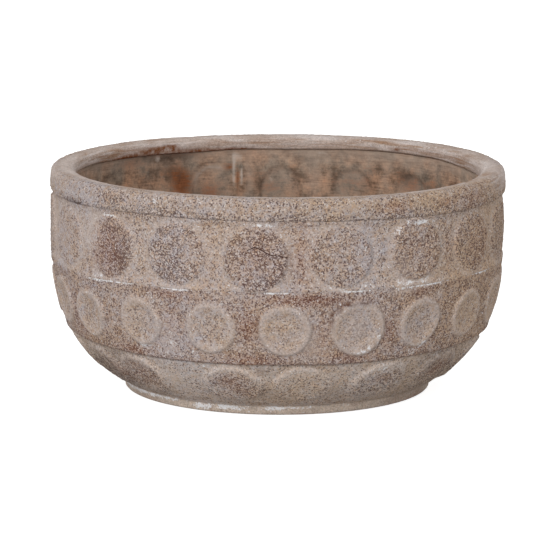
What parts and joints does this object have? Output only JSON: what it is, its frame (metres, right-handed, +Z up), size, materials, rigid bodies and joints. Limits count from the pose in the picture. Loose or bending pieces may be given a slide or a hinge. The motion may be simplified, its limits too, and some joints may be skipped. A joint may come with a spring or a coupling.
{
  "type": "bowl planter",
  "caption": "Low round clay planter bowl with a thick rounded lip, belts of pressed disc relief on the outside, a plain foot ring and a drain hole in the floor.",
  "frame": {"origin": "middle of the underside of the foot ring, on the planter's axis", "axes": "+Z up along the planter's axis; the picture looks along +Y, with +X to its right"},
  "size_m": [0.3599, 0.36, 0.177],
  "materials": {
    "foot_clay": "unglazed terracotta, worn smooth, with a pale lime bloom",
    "inside_clay": "unglazed terracotta, wiped smooth",
    "belt_clay": "unglazed sandy terracotta, pressed, with a greyish-beige wash",
    "rim_clay": "unglazed sandy terracotta, worn smooth on the lip"
  },
  "bodies": {
    "root": {"foot_ring": "foot_clay", "floor_slab": "inside_clay", "lower_belt": "belt_clay", "middle_belt": "belt_clay", "upper_belt": "belt_clay", "rim_coil": "rim_clay"}
  },
  "joints": []
}
